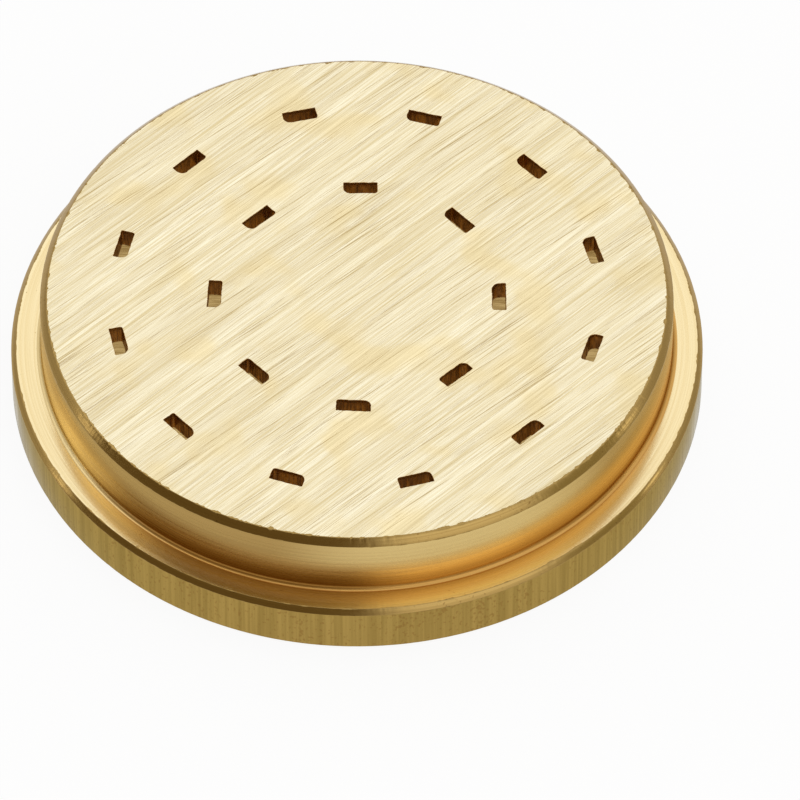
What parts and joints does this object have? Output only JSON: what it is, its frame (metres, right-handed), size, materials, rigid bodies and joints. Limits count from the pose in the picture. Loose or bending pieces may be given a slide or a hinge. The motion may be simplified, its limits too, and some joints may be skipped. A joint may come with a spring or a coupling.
{
  "type": "pasta extrusion die",
  "caption": "Flanged brass disc with rings of small slots, clamped at the outlet of a pasta extruder so that dough pushed through it comes out as flat ribbons.",
  "frame": {"origin": "centre of the inlet face, the flat back of the flange that the disc lies on", "axes": "+Z along the disc's axis, from the inlet face to the outlet face; +X through the middle of a slot of the inner ring"},
  "size_m": [0.057, 0.057, 0.0106],
  "materials": {
    "brass": "turned, with a straight-brushed outlet face"
  },
  "bodies": {
    "root": {"die_disc": "brass"}
  },
  "joints": []
}
